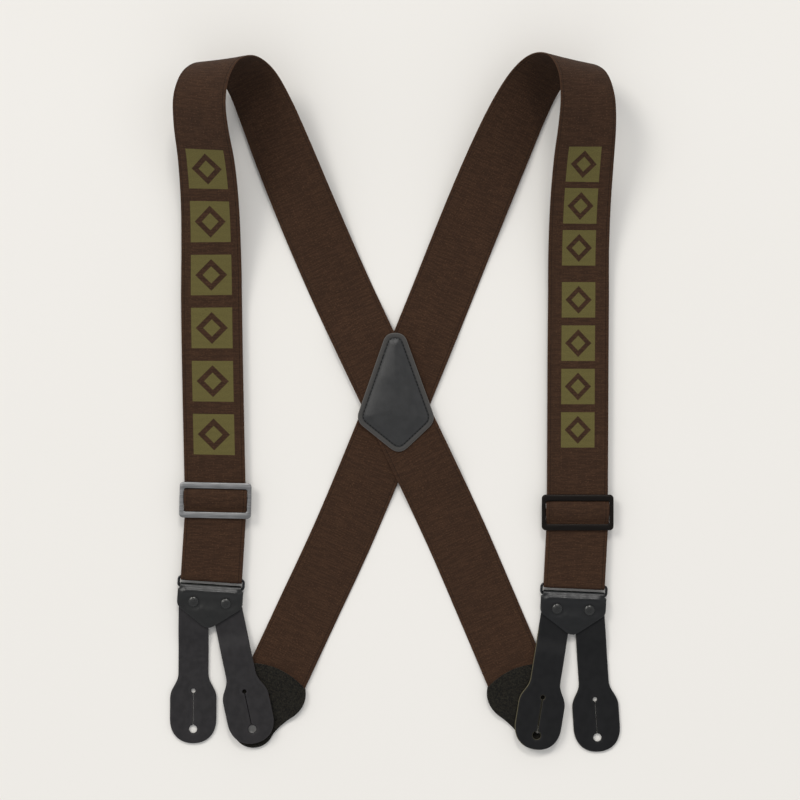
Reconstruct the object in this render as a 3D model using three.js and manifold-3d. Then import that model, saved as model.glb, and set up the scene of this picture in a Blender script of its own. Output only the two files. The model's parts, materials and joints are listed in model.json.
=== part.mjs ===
// A pair of wide elastic suspenders with leather button tabs, laid out on a flat surface.
// The front straps lie at the sides, fold over at the shoulders and cross in an X at the back patch.
// Units are millimetres. +X is to the right, +Y towards the shoulders, +Z up from the surface.
// Left and right are as seen from above.

import * as THREE from "three";
import { mergeVertices } from "three/addons/utils/BufferGeometryUtils.js";
import Module from "manifold-3d";

const wasm = await Module();
wasm.setup();

// ---- driving dimensions -------------------------------------------------------------------

const GAP = 0.3; // air between pieces that touch on the real object
const SEAM = 0.6; // where two lengths of one strap meet at a slight angle
const STRAP_WIDTH = 50.8; // two-inch elastic webbing
const STRAP_THICK = 1.4;
const FOLD_RADIUS = 3.25; // outside of the webbing or leather where it turns round a wire
const LAYER_TOP = 2 * FOLD_RADIUS; // top of the front layer of webbing
const LAYER_MIDDLE = LAYER_TOP - STRAP_THICK / 2;
const HALF_WEB = STRAP_THICK / 2;

const RING_WIRE = 2.2;
const RING_WIDTH = 56.2;
const RING_BARS = 8.3; // between the axes of its two long bars
const RING_CORNER = 2.6;
const FOLD_LEG = 9; // how far the webbing's fold runs up from the ring on each side

const ADJUSTER = {
  width: 59.6,
  height: 29.6,
  corner: 3.2,
  windowWidth: 52.8,
  windowHeight: 19.4,
  windowCorner: 2,
  bottom: LAYER_TOP + GAP,
  thick: 1.9,
  barBottom: STRAP_THICK + GAP,
  barThick: 1.4,
  barWidth: 6,
  barReach: 58, // the set-back bar and its two lugs, end to end
  sewnFront: 9, // the webbing's end is folded round the bar and stitched: its two legs
  sewnBack: 12,
};

const SHEET_WIDTH = 80; // wider than any of the leather pieces
const LEATHER = 1.6; // the yokes
const TAB_LEATHER = 2.2;
const TAB_BOTTOM = FOLD_RADIUS - TAB_LEATHER / 2;
const YOKE_WIDTH = 51.2; // at the fold, between the ring's corners
const YOKE_EAR = { wide: 54.2, drop: 1.2, round: 0.9 }; // its flaps are wider, from just below the wire
const YOKE_TIP = 32.8; // from the wire to the rounded point
const YOKE_SIDE = { straight: 10.9, x: 24.1, y: 17.6 }; // where its sides turn into the diagonals
const YOKE_POINT = { x: 6.4, y: 30.2, round: 3.2 }; // where the diagonals turn into the point
const RIVET_DROP = 11.8; // from the wire to the rivets
const RIVET_SPREAD = 26.8;
const RIVET_HEAD = 9;
const RIVET_POST = 3.2;
const RIVET_HOLE = 3.9;
const RIVET_BACK = 8;
const RIVET_SEAT = 1; // how deep the back of a rivet is let into the leather

const TAB = {
  neck: 12.5,
  headDrop: 5, // the round head's centre lies this far below the rivet
  shoulder: 19.3,
  neckEnd: 60,
  shoulderStart: 81,
  roundStart: 98,
  end: 118.5,
  smallHole: 74.7,
  smallRadius: 1.8,
  bigHole: 106.6,
  bigRadius: 3.35,
  slit: 0.6,
  stepStart: 24, // the leather steps up or down between these two distances from the rivet
  stepEnd: 40,
};

const REAR_LEATHER = 1.1;
const REAR_STACK = REAR_LEATHER + GAP; // how far the rear leather lifts the end of the strap
const REAR_INNER_BOTTOM = REAR_STACK + STRAP_THICK + GAP;
const REAR_TAB = {
  arc: 6,
  top: 26,
  tongue: 17.4,
  tongueCentre: 46,
  smallHole: 17,
  hole: 48,
  edge: 0.8, // the leather's upper corners lie this far above the end of the strap's plan
  strapEnd: 20, // how far the webbing runs down inside the leather
  stepLength: 12, // below the webbing the lining steps down onto the outer leather
  rampStart: 45, // the webbing rises onto the leather between these two distances before it
  rampEnd: 12,
};

const PATCH_LEATHER = 1.2;
const PATCH_LIFT = PATCH_LEATHER + GAP; // what the outer patch lifts the lower strap by
const CROSS_LIFT = PATCH_LIFT + STRAP_THICK + GAP; // and the upper strap over the lower one
const PATCH_TOP_BOTTOM = CROSS_LIFT + STRAP_THICK + GAP;
const CROSSING = { x: 0, y: -4.5, flat: 60, clear: 95 };

// Each strap turns over at the shoulder. A station gives how far along the webbing it is, where
// the middle of the webbing is, how far its width is turned about Z and how far it is rolled up.
const SHOULDERS = {
  left: [
    [0, -153.2, 84, LAYER_MIDDLE, 1, 0],
    [40, -153.2, 123.6, 10.5, 0, 9],
    [80, -153.6, 163, 20, -2, 15],
    [115, -155.5, 196, 32, -4, 19],
    [148, -159, 225.6, 46.5, -7, 24],
    [170, -159.3, 246.8, 53, -9, 28],
    [190, -154.3, 265.9, 51, -9, 35],
    [208, -144.4, 277.5, 42, -2, 42],
    [226, -132.1, 276.8, 29.5, 11, 41],
    [246, -119.9, 264.5, 19.5, 19, 34],
    [272, -108.5, 241.6, 14.2, 21, 25],
    [308, -94.7, 207.9, 10.8, 22, 16],
    [350, -78.7, 168.5, 7, 23, 9],
    [396, -60.6, 125.7, 2.7, 24, 3],
    [441, -42.1, 84.1, HALF_WEB, 25, 0],
  ],
  right: [
    [0, 151.5, 84, LAYER_MIDDLE, 0, 0],
    [40, 151.4, 123.8, 10.5, 0, -4],
    [80, 152.2, 163.2, 20, 0, -6],
    [115, 154, 196.8, 31.5, 0, -10],
    [148, 156.1, 227.5, 44, 4, -18],
    [170, 155.8, 249.1, 48.8, 6, -26],
    [190, 151.6, 268.2, 46, 5, -36],
    [208, 141.8, 279.2, 36.5, -5, -43],
    [226, 128.8, 277.4, 24.5, -17, -41],
    [246, 115.9, 264.8, 16, -23, -34],
    [272, 102.8, 242.4, 12, -24, -25],
    [308, 87.5, 209.3, 9.6, -23.5, -15],
    [350, 70.8, 170, 6.6, -23, -7],
    [396, 53.2, 126.7, 2.5, -22, -2],
    [441, 36.3, 84.1, HALF_WEB, -22.2, 0],
  ],
};
const CREST = 208; // where the two halves of a shoulder meet
const REAR_START = 441;

const SIDES = [
  {
    name: "left",
    frontEnd: [-149.6, -86],
    adjuster: { x: -149.9, y: -82.5, turn: -1.3 },
    ring: { x: -153.5, y: -147.3, turn: -3.9 },
    outerTab: -0.4,
    innerTab: 12,
    rear: [[-42.1, 84.1], [0, -5], [48.3, -107.5], [80.6, -182.4], [100.4, -229.2]],
    lift: CROSS_LIFT,
    rearTurn: 22.6,
  },
  {
    name: "right",
    frontEnd: [150.4, -86],
    adjuster: { x: 150.7, y: -92.5, turn: 0 },
    ring: { x: 148.1, y: -153, turn: -2.6 },
    outerTab: 3.8,
    innerTab: -9.2,
    rear: [[36.3, 84.1], [0, -5], [-42.6, -107.5], [-77.3, -182.4], [-99.3, -229.6]],
    lift: PATCH_LIFT,
    rearTurn: -25.2,
  },
];

// ---- materials ----------------------------------------------------------------------------

function finish(color, roughness, metalness) {
  return new THREE.MeshStandardMaterial({ color, roughness, metalness });
}

const webbing = finish("#3c2a22", 0.9, 0);
const leather = finish("#26262a", 0.5, 0);
const suede = finish("#161616", 0.95, 0);
const greyMetal = finish("#6f7274", 0.45, 0.8);
const blackMetal = finish("#141416", 0.4, 0.7);

// ---- solids -------------------------------------------------------------------------------

// A closed slab. place(u, v, w, point) puts each of its corners, with u, v and w from 0 to 1.
function bentSlab(uSteps, vSteps, place) {
  const geometry = new THREE.BoxGeometry(1, 1, 1, uSteps, vSteps, 1);
  const corners = geometry.attributes.position;
  const point = new THREE.Vector3();
  for (let i = 0; i < corners.count; i += 1) {
    place(corners.getX(i) + 0.5, corners.getY(i) + 0.5, corners.getZ(i) + 0.5, point);
    corners.setXYZ(i, point.x, point.y, point.z);
  }
  geometry.computeVertexNormals();
  return geometry;
}

function toSolid(geometry) {
  const bare = geometry.clone();
  bare.deleteAttribute("normal");
  bare.deleteAttribute("uv");
  const merged = mergeVertices(bare, 1e-4);
  const vertProperties = new Float32Array(merged.attributes.position.array);
  const triVerts = new Uint32Array(merged.index.array);
  return new wasm.Manifold(new wasm.Mesh({ numProp: 3, vertProperties, triVerts }));
}

function toGeometry(solid) {
  const { vertProperties, triVerts } = solid.getMesh();
  const indexed = new THREE.BufferGeometry();
  indexed.setAttribute("position", new THREE.BufferAttribute(vertProperties, 3));
  indexed.setIndex(new THREE.BufferAttribute(triVerts, 1));
  const geometry = indexed.toNonIndexed();
  geometry.computeVertexNormals();
  return geometry;
}

function prism(shape, bottom, top, curveSegments = 12) {
  const options = { depth: top - bottom, bevelEnabled: false, curveSegments };
  return new THREE.ExtrudeGeometry(shape, options).translate(0, 0, bottom);
}

function roundedRectangle(width, height, corner) {
  const x = width / 2;
  const y = height / 2;
  const shape = new THREE.Shape();
  shape.moveTo(x, y - corner);
  shape.absarc(x - corner, y - corner, corner, 0, Math.PI / 2);
  shape.absarc(-x + corner, y - corner, corner, Math.PI / 2, Math.PI);
  shape.absarc(-x + corner, -y + corner, corner, Math.PI, 1.5 * Math.PI);
  shape.absarc(x - corner, -y + corner, corner, 1.5 * Math.PI, 2 * Math.PI);
  return shape;
}

function hole(x, y, radius) {
  const sides = 24;
  const points = [];
  for (let i = 0; i < sides; i += 1) {
    const angle = (2 * Math.PI * i) / sides;
    points.push(new THREE.Vector2(x + radius * Math.cos(angle), y + radius * Math.sin(angle)));
  }
  return new THREE.Path(points);
}

// Two round holes joined by a narrow slit, as one opening that runs down the Y axis.
function buttonhole(smallY, smallRadius, bigY, bigRadius, slit) {
  const half = slit / 2;
  const small = Math.asin(half / smallRadius);
  const big = Math.asin(half / bigRadius);
  const path = new THREE.Path();
  path.absarc(0, smallY, smallRadius, -0.5 * Math.PI + small, 1.5 * Math.PI - small, false);
  path.absarc(0, bigY, bigRadius, 0.5 * Math.PI + big, 2.5 * Math.PI - big, false);
  path.closePath();
  return path;
}

function smoothStep(from, to, value) {
  return THREE.MathUtils.smoothstep(value, from, to);
}

function mesh(name, geometry, material) {
  const made = new THREE.Mesh(geometry, material);
  made.name = name;
  return made;
}

function placed(parent, x, y, turn) {
  const group = new THREE.Group();
  group.position.set(x, y, 0);
  group.rotation.z = THREE.MathUtils.degToRad(turn);
  parent.add(group);
  return group;
}

// ---- webbing ------------------------------------------------------------------------------

// The value and slope of a smooth curve through rows that each start with their distance along.
function alongRows(rows, distance) {
  let i = 0;
  while (i < rows.length - 2 && rows[i + 1][0] < distance) i += 1;
  const span = rows[i + 1][0] - rows[i][0];
  const t = (distance - rows[i][0]) / span;
  const slope = (k, column) => {
    const before = rows[Math.max(k - 1, 0)];
    const after = rows[Math.min(k + 1, rows.length - 1)];
    return (after[column] - before[column]) / (after[0] - before[0]);
  };
  return rows[i].map((start, column) => {
    const end = rows[i + 1][column];
    const a = slope(i, column) * span;
    const b = slope(i + 1, column) * span;
    const value = start * (2 * t ** 3 - 3 * t ** 2 + 1) + end * (3 * t ** 2 - 2 * t ** 3);
    return value + a * (t ** 3 - 2 * t ** 2 + t) + b * (t ** 3 - t ** 2);
  });
}

function shoulderMiddle(rows, distance) {
  const [, x, y, z] = alongRows(rows, distance);
  return new THREE.Vector3(x, y, z);
}

// A point of the shoulder's webbing, across its width and above its middle surface.
function shoulderPoint(rows, distance, across, above) {
  const [, , , , turn, roll] = alongRows(rows, distance);
  const level = Math.cos(THREE.MathUtils.degToRad(roll));
  const width = new THREE.Vector3(
    Math.cos(THREE.MathUtils.degToRad(turn)) * level,
    Math.sin(THREE.MathUtils.degToRad(turn)) * level,
    Math.sin(THREE.MathUtils.degToRad(roll)),
  );
  const step = 0.5;
  const heading = shoulderMiddle(rows, Math.min(distance + step, REAR_START));
  heading.sub(shoulderMiddle(rows, Math.max(distance - step, 0))).normalize();
  const up = new THREE.Vector3().crossVectors(width, heading).normalize();
  return shoulderMiddle(rows, distance).addScaledVector(width, across).addScaledVector(up, above);
}

function shoulderHalf(name, rows, from, to) {
  const geometry = bentSlab(2, 40, (u, v, w, point) => {
    const distance = THREE.MathUtils.lerp(from, to, v);
    const across = (u - 0.5) * STRAP_WIDTH;
    point.copy(shoulderPoint(rows, distance, across, (w - 0.5) * STRAP_THICK));
  });
  return mesh(name, geometry, webbing);
}

// A flat stretch of webbing between two ends, each an x, a y and how far its cut edge is turned.
function flatStretch(name, start, end, bottom) {
  const geometry = bentSlab(1, 1, (u, v, w, point) => {
    const [x, y, turn] = start.map((from, i) => THREE.MathUtils.lerp(from, end[i], v));
    const across = (u - 0.5) * STRAP_WIDTH;
    const angle = THREE.MathUtils.degToRad(turn);
    point.set(x + Math.cos(angle) * across, y + Math.sin(angle) * across, bottom + w * STRAP_THICK);
  });
  return mesh(name, geometry, webbing);
}

// The diagonal strap from a shoulder, over or under the other one, to its rear leather.
function rearStrap(side) {
  const plan = new THREE.SplineCurve(side.rear.map(([x, y]) => new THREE.Vector2(x, y)));
  const length = plan.getLength();
  const tail = length + REAR_TAB.strapEnd;
  const geometry = bentSlab(1, 70, (u, v, w, point) => {
    const distance = THREE.MathUtils.lerp(SEAM, tail, v);
    const along = Math.min(distance / length, 1);
    const middle = plan.getPointAt(along);
    const heading = plan.getTangentAt(along);
    middle.addScaledVector(heading, Math.max(distance - length, 0));
    const off = Math.hypot(middle.x - CROSSING.x, middle.y - CROSSING.y);
    const lift = side.lift * (1 - smoothStep(CROSSING.flat, CROSSING.clear, off));
    const rampStart = length - REAR_TAB.rampStart;
    const end = REAR_STACK * smoothStep(rampStart, length - REAR_TAB.rampEnd, distance);
    const across = (0.5 - u) * STRAP_WIDTH;
    const x = middle.x + heading.y * across;
    const y = middle.y - heading.x * across;
    point.set(x, y, lift + end + (1 - w) * STRAP_THICK);
  });
  return mesh(`${side.name}_strap_rear`, geometry, webbing);
}

// Webbing that turns round a bar along X: it comes in and goes out on the -Y or the +Y side.
function foldedWebbing(name, radius, legFront, legBack, side, middle) {
  const inner = radius - STRAP_THICK;
  const bend = Math.PI * (radius - STRAP_THICK / 2);
  const total = legFront + bend + legBack;
  const turns = 16;
  const geometry = bentSlab(1, turns + 2, (u, v, w, point) => {
    const station = Math.round(v * (turns + 2));
    let distance = legFront + (bend * (station - 1)) / turns;
    if (station === 0) distance = 0;
    if (station === turns + 2) distance = total;
    const r = inner + w * STRAP_THICK;
    const x = (0.5 - u) * STRAP_WIDTH * side;
    if (distance <= legFront) {
      point.set(x, side * (legFront - distance), middle + r);
    } else if (distance >= legFront + bend) {
      point.set(x, side * (distance - legFront - bend), middle - r);
    } else {
      const angle = (distance - legFront) / bend * Math.PI;
      point.set(x, -side * Math.sin(angle) * r, middle + Math.cos(angle) * r);
    }
  });
  return mesh(name, geometry, webbing);
}

// ---- hardware -----------------------------------------------------------------------------

function adjusterFrame(name) {
  const a = ADJUSTER;
  const outline = roundedRectangle(a.width, a.height, a.corner);
  outline.holes.push(roundedRectangle(a.windowWidth, a.windowHeight, a.windowCorner));
  const frame = toSolid(prism(outline, a.bottom, a.bottom + a.thick, 6));
  const bar = new THREE.BoxGeometry(a.barReach, a.barWidth, a.barThick);
  let made = frame.add(toSolid(bar.translate(0, 0, a.barBottom + a.barThick / 2)));
  const lugWidth = (a.barReach - a.windowWidth) / 2;
  for (const end of [-1, 1]) {
    const height = a.bottom + a.thick / 2 - a.barBottom;
    const lug = new THREE.BoxGeometry(lugWidth, a.barWidth, height);
    lug.translate(end * (a.barReach - lugWidth) / 2, 0, a.barBottom + height / 2);
    made = made.add(toSolid(lug));
  }
  return mesh(name, toGeometry(made), greyMetal);
}

// A wire bent into a rectangle with rounded corners. Its upper bar lies on the X axis.
function ring(name) {
  const plan = roundedRectangle(RING_WIDTH - RING_WIRE, RING_BARS, RING_CORNER).getPoints(4);
  const points = plan.map(({ x, y }) => new THREE.Vector3(x, y - RING_BARS / 2, FOLD_RADIUS));
  const round = points.filter((at, i) => i === 0 || at.distanceTo(points[i - 1]) > 1e-3);
  if (round.at(-1).distanceTo(round[0]) < 1e-3) round.pop();
  const count = round.length;
  const sides = 8;
  const geometry = new THREE.TorusGeometry(1, 0.5, sides, count);
  const surface = geometry.attributes.position;
  for (let j = 0; j <= sides; j += 1) {
    for (let i = 0; i <= count; i += 1) {
      const at = round[i % count];
      const before = round[(i + count - 1) % count];
      const after = round[(i + 1) % count];
      const into = at.clone().sub(before).normalize();
      const out = after.clone().sub(at).normalize();
      const across = into.clone().add(out).normalize();
      const stretch = 1 / Math.max(across.dot(into), 0.5);
      const angle = ((j % sides) / sides) * 2 * Math.PI;
      const outward = (Math.cos(angle) * RING_WIRE * stretch) / 2;
      const x = at.x + across.y * outward;
      const y = at.y - across.x * outward;
      surface.setXYZ(j * (count + 1) + i, x, y, at.z + (Math.sin(angle) * RING_WIRE) / 2);
    }
  }
  geometry.computeVertexNormals();
  return mesh(name, geometry, blackMetal);
}

function lathe(profile, segments) {
  const points = profile.map(([x, y]) => new THREE.Vector2(x, y));
  return new THREE.LatheGeometry(points, segments).rotateX(Math.PI / 2);
}

function rivetCap(name) {
  const head = RIVET_HEAD / 2;
  const post = RIVET_POST / 2;
  const seat = LAYER_TOP + GAP;
  const foot = 1.1;
  const profile = [
    [0, foot], [post, foot], [post, seat], [head, seat], [head, seat + 0.5],
    [head * 0.86, seat + 1.3], [head * 0.5, seat + 1.9], [0, seat + 2.1],
  ];
  return mesh(name, lathe(profile, 24), blackMetal);
}

function rivetBack(name) {
  const radius = RIVET_BACK / 2;
  const profile = [[0, 0], [radius - 0.4, 0], [radius, 0.3], [radius, 0.7], [0, 0.7]];
  return mesh(name, lathe(profile, 24), blackMetal);
}

// ---- leather ------------------------------------------------------------------------------

function yokeOutline() {
  const fold = YOKE_WIDTH / 2;
  const half = YOKE_EAR.wide / 2;
  const { drop, round: ear } = YOKE_EAR;
  const { straight, x: sideX, y: sideY } = YOKE_SIDE;
  const { x: pointX, y: pointY, round } = YOKE_POINT;
  const cornerY = (straight + sideY) / 2;
  const shape = new THREE.Shape();
  shape.moveTo(fold, 0);
  shape.lineTo(fold, -drop);
  shape.quadraticCurveTo(half, -drop, half, -drop - ear);
  shape.lineTo(half, -straight);
  shape.quadraticCurveTo(half, -cornerY, sideX, -sideY);
  shape.lineTo(pointX, -pointY);
  shape.quadraticCurveTo(round, -YOKE_TIP, 0, -YOKE_TIP);
  shape.quadraticCurveTo(-round, -YOKE_TIP, -pointX, -pointY);
  shape.lineTo(-sideX, -sideY);
  shape.quadraticCurveTo(-half, -cornerY, -half, -straight);
  shape.lineTo(-half, -drop - ear);
  shape.quadraticCurveTo(-half, -drop, -fold, -drop);
  shape.lineTo(-fold, 0);
  for (const end of [-1, 1]) {
    shape.holes.push(hole(end * RIVET_SPREAD / 2, -RIVET_DROP, RIVET_HOLE / 2));
  }
  return shape;
}

// One piece of leather folded over the ring, with a pointed flap in front and one behind.
function yoke(name) {
  const inner = FOLD_RADIUS - LEATHER;
  const front = toSolid(prism(yokeOutline(), FOLD_RADIUS + inner, LAYER_TOP, 8));
  const back = toSolid(prism(yokeOutline(), 0, LEATHER, 8));
  const legs = 0.6; // how far the bend runs on into the two flaps
  const bend = new THREE.Shape();
  bend.moveTo(-legs, FOLD_RADIUS);
  bend.lineTo(-legs, inner);
  bend.absarc(0, 0, inner, Math.PI / 2, -Math.PI / 2, true);
  bend.lineTo(-legs, -inner);
  bend.lineTo(-legs, -FOLD_RADIUS);
  bend.absarc(0, 0, FOLD_RADIUS, -Math.PI / 2, Math.PI / 2, false);
  const options = { depth: YOKE_WIDTH, bevelEnabled: false, curveSegments: 10 };
  const fold = new THREE.ExtrudeGeometry(bend, options);
  // the profile's X and Y become the part's Y and Z, and its depth runs along X
  const toPart = new THREE.Matrix4().makeBasis(
    new THREE.Vector3(0, 1, 0),
    new THREE.Vector3(0, 0, 1),
    new THREE.Vector3(1, 0, 0),
  );
  fold.applyMatrix4(toPart).translate(-YOKE_WIDTH / 2, 0, FOLD_RADIUS);
  let made = front.add(back).add(toSolid(fold));
  // the backs of the rivets are let into the flap behind
  const seatRadius = RIVET_BACK / 2 + GAP;
  for (const end of [-1, 1]) {
    const seat = new THREE.CylinderGeometry(seatRadius, seatRadius, 2 * RIVET_SEAT, 24);
    seat.rotateX(Math.PI / 2).translate(end * RIVET_SPREAD / 2, -RIVET_DROP, 0);
    made = made.subtract(toSolid(seat));
  }
  return mesh(name, toGeometry(made), leather);
}

function tabOutline() {
  const t = TAB;
  const shape = new THREE.Shape();
  shape.moveTo(t.neck, -t.headDrop);
  shape.absarc(0, -t.headDrop, t.neck, 0, Math.PI, false);
  const curve = (side) => [
    [side * t.neck, -t.neckEnd],
    [side * t.neck, -t.neckEnd - 9, side * t.shoulder, -t.shoulderStart + 9],
    [side * t.shoulder, -t.shoulderStart],
    [side * t.shoulder, -t.roundStart],
    [side * t.shoulder, -t.end + 8, side * 12, -t.end],
  ];
  const left = curve(-1);
  shape.lineTo(...left[0]);
  shape.bezierCurveTo(...left[1], ...left[2]);
  shape.lineTo(...left[3]);
  shape.bezierCurveTo(...left[4], 0, -t.end);
  const right = curve(1);
  shape.bezierCurveTo(right[4][2], right[4][3], right[4][0], right[4][1], ...right[3]);
  shape.lineTo(...right[2]);
  shape.bezierCurveTo(right[1][2], right[1][3], right[1][0], right[1][1], ...right[0]);
  shape.lineTo(t.neck, -t.headDrop);
  shape.holes.push(hole(0, 0, RIVET_HOLE / 2));
  shape.holes.push(buttonhole(-t.smallHole, t.smallRadius, -t.bigHole, t.bigRadius, t.slit));
  return shape;
}

// A sheet of leather cut to an outline. height(y) is how high its underside lies.
function cutLeather(name, outline, thick, from, to, height, material) {
  const room = 20;
  const slab = bentSlab(1, 36, (u, v, w, point) => {
    const y = THREE.MathUtils.lerp(to + 1, from - 1, v);
    point.set((0.5 - u) * SHEET_WIDTH, y, height(y) + w * thick);
  });
  const made = toSolid(slab).intersect(toSolid(prism(outline, -room, room)));
  return mesh(name, toGeometry(made), material);
}

// A button tab in its rivet's own frame. Its far end lies lower or higher than its head by step.
function buttonTab(name, step) {
  const t = TAB;
  const top = t.neck - t.headDrop;
  const height = (y) => TAB_BOTTOM + step * smoothStep(t.stepStart, t.stepEnd, -y);
  return cutLeather(name, tabOutline(), TAB_LEATHER, -t.end, top, height, leather);
}

function rearTabOutline() {
  const r = REAR_TAB;
  const shape = new THREE.Shape();
  shape.moveTo(r.top, r.edge);
  shape.quadraticCurveTo(0, 2 * r.arc + r.edge, -r.top, r.edge);
  shape.bezierCurveTo(-32, -8, -31, -18, -24.3, -27.6);
  shape.bezierCurveTo(-20.5, -35, -18, -40, -r.tongue, -r.tongueCentre);
  shape.absarc(0, -r.tongueCentre, r.tongue, Math.PI, 2 * Math.PI, false);
  shape.bezierCurveTo(18, -40, 20.5, -35, 24.3, -27.6);
  shape.bezierCurveTo(31, -18, 32, -8, r.top, r.edge);
  shape.holes.push(buttonhole(-r.smallHole, TAB.smallRadius, -r.hole, TAB.bigRadius, TAB.slit));
  return shape;
}

// The rear leather is two pieces that hold the end of the strap between them.
function rearTabs(parent, side) {
  const [x, y] = side.rear.at(-1);
  const at = placed(parent, x, y, side.rearTurn);
  const outer = prism(rearTabOutline(), 0, REAR_LEATHER);
  at.add(mesh(`${side.name}_rear_tab_outer`, outer, leather));
  const { strapEnd, stepLength, tongueCentre, tongue, arc, edge } = REAR_TAB;
  const drop = REAR_INNER_BOTTOM - REAR_STACK;
  const stepStart = strapEnd + 1;
  const stepEnd = stepStart + stepLength;
  const height = (along) => REAR_INNER_BOTTOM - drop * smoothStep(stepStart, stepEnd, -along);
  const name = `${side.name}_rear_tab_lining`;
  const end = -tongueCentre - tongue;
  at.add(cutLeather(name, rearTabOutline(), REAR_LEATHER, end, arc + edge, height, suede));
}

function patchOutline() {
  const corners = [[-8.2, 56.6, 7], [-33.6, -16.2, 8], [2.7, -45.4, 10], [33.2, -16.5, 8], [6.7, 56.6, 7]];
  const points = corners.map(([x, y]) => new THREE.Vector2(x, y));
  const count = corners.length;
  const shape = new THREE.Shape();
  corners.forEach(([, , cut], i) => {
    const at = points[i];
    const before = points[(i + count - 1) % count].clone().sub(at).setLength(cut).add(at);
    const after = points[(i + 1) % count].clone().sub(at).setLength(cut).add(at);
    if (i === 0) shape.moveTo(before.x, before.y);
    else shape.lineTo(before.x, before.y);
    shape.quadraticCurveTo(at.x, at.y, after.x, after.y);
  });
  shape.closePath();
  return shape;
}

// ---- assembly -----------------------------------------------------------------------------

function shoulder(parent, side) {
  const rows = SHOULDERS[side.name];
  parent.add(shoulderHalf(`${side.name}_shoulder_front`, rows, GAP, CREST - GAP / 2));
  parent.add(shoulderHalf(`${side.name}_shoulder_rear`, rows, CREST + GAP / 2, REAR_START));
}

function adjusterGroup(parent, side) {
  const { x, y, turn } = side.adjuster;
  const at = placed(parent, x, y, turn);
  at.add(adjusterFrame(`${side.name}_adjuster_frame`));
  const { barBottom, barThick, barWidth, sewnFront, sewnBack } = ADJUSTER;
  const bar = barBottom + barThick / 2;
  const wrap = foldedWebbing(`${side.name}_sewn_end`, bar, sewnFront, sewnBack, -1, bar);
  wrap.position.y = barWidth / 2;
  at.add(wrap);
}

function frontEnd(parent, side) {
  const { x, y, turn } = side.ring;
  const at = placed(parent, x, y, turn);
  const foldName = `${side.name}_strap_fold`;
  at.add(foldedWebbing(foldName, FOLD_RADIUS, FOLD_LEG, FOLD_LEG, 1, FOLD_RADIUS));
  at.add(ring(`${side.name}_ring`));

  const radians = THREE.MathUtils.degToRad(turn);
  const foldTop = FOLD_LEG + GAP;
  const foldEnd = [x - Math.sin(radians) * foldTop, y + Math.cos(radians) * foldTop, turn];
  const [frontX, frontY] = side.frontEnd;
  const lower = [frontX, frontY - GAP, side.adjuster.turn];
  parent.add(flatStretch(`${side.name}_strap_lower`, foldEnd, lower, LAYER_TOP - STRAP_THICK));

  const { x: adjusterX, y: adjusterY, turn: adjusterTurn } = side.adjuster;
  const sewnReach = ADJUSTER.sewnBack - ADJUSTER.barWidth / 2;
  const tailEnd = [adjusterX, adjusterY - sewnReach - 2 * GAP, adjusterTurn];
  parent.add(flatStretch(`${side.name}_strap_tail`, foldEnd, tailEnd, 0));

  const yokeAt = new THREE.Group();
  yokeAt.position.y = -RING_BARS;
  at.add(yokeAt);
  yokeAt.add(yoke(`${side.name}_yoke`));
  const outward = Math.sign(x);
  const rearTop = REAR_INNER_BOTTOM + REAR_LEATHER; // the inner tabs lie on the rear leather
  for (const [place, end, lean, step] of [
    ["outer", outward, side.outerTab, -TAB_BOTTOM],
    ["inner", -outward, side.innerTab, rearTop + GAP - TAB_BOTTOM],
  ]) {
    const rivet = placed(yokeAt, end * RIVET_SPREAD / 2, -RIVET_DROP, 0);
    rivet.add(rivetCap(`${side.name}_${place}_rivet_cap`));
    rivet.add(rivetBack(`${side.name}_${place}_rivet_back`));
    const tabAt = placed(rivet, 0, 0, lean - turn);
    tabAt.add(buttonTab(`${side.name}_${place}_tab`, step));
  }
}

const suspenders = new THREE.Group();
const laidOut = new THREE.Group();
suspenders.add(laidOut);

for (const side of SIDES) {
  shoulder(laidOut, side);
  laidOut.add(rearStrap(side));
  rearTabs(laidOut, side);
  const [, topX, topY, , topTurn] = SHOULDERS[side.name][0];
  const bottom = [...side.frontEnd, side.adjuster.turn];
  const name = `${side.name}_strap_front`;
  laidOut.add(flatStretch(name, bottom, [topX, topY, topTurn], LAYER_TOP - STRAP_THICK));
  adjusterGroup(laidOut, side);
  frontEnd(laidOut, side);
}

for (const [name, bottom] of [["cross_patch_outer", 0], ["cross_patch_inner", PATCH_TOP_BOTTOM]]) {
  laidOut.add(mesh(name, prism(patchOutline(), bottom, bottom + PATCH_LEATHER), leather));
}

// the origin is the middle of the footprint, on the surface that the suspenders lie on
suspenders.updateMatrixWorld(true);
const extent = new THREE.Box3().setFromObject(suspenders, true);
const middle = extent.getCenter(new THREE.Vector3());
laidOut.position.set(-middle.x, -middle.y, -extent.min.z);
suspenders.updateMatrixWorld(true);

export default suspenders;
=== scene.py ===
"""The looks of a pair of wide elastic suspenders with leather button tabs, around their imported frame."""

import json
import math

import bpy
import numpy as np
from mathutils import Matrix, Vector, noise
from mathutils.geometry import delaunay_2d_cdt


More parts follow.
